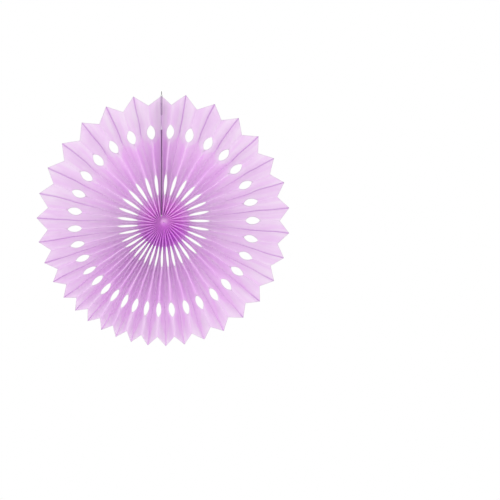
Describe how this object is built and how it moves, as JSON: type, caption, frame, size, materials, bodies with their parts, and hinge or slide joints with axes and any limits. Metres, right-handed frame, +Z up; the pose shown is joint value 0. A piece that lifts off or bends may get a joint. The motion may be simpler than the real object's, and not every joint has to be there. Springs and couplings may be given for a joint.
{
  "type": "paper fan rosette",
  "caption": "Round hanging party fan of pleated, die-cut lilac tissue, opened through a full turn, with a card-stiffened joint and a thread loop.",
  "frame": {"origin": "the top of the hanging loop, inside the thread, where a hook or string carries the fan", "axes": "+Z up, the fan hangs below the origin in the XZ plane; its front, with the front folds and the edges of the joint, faces -Y; +X is to the viewer's right"},
  "size_m": [0.4031, 0.0272, 0.406],
  "materials": {
    "tissue": "thin lilac tissue, translucent, faintly crinkled",
    "card": "matt dyed card with cut edges",
    "tape": "clear double-sided tape",
    "hanging_thread": "fine twisted grey thread",
    "lilac_thread": "fine twisted lilac thread"
  },
  "bodies": {
    "root": {"pleated_tissue": "tissue", "end_card_left": "card", "end_card_right": "card", "joint_tape": "tape", "hanging_loop": "hanging_thread", "gathering_thread": "lilac_thread"}
  },
  "joints": []
}
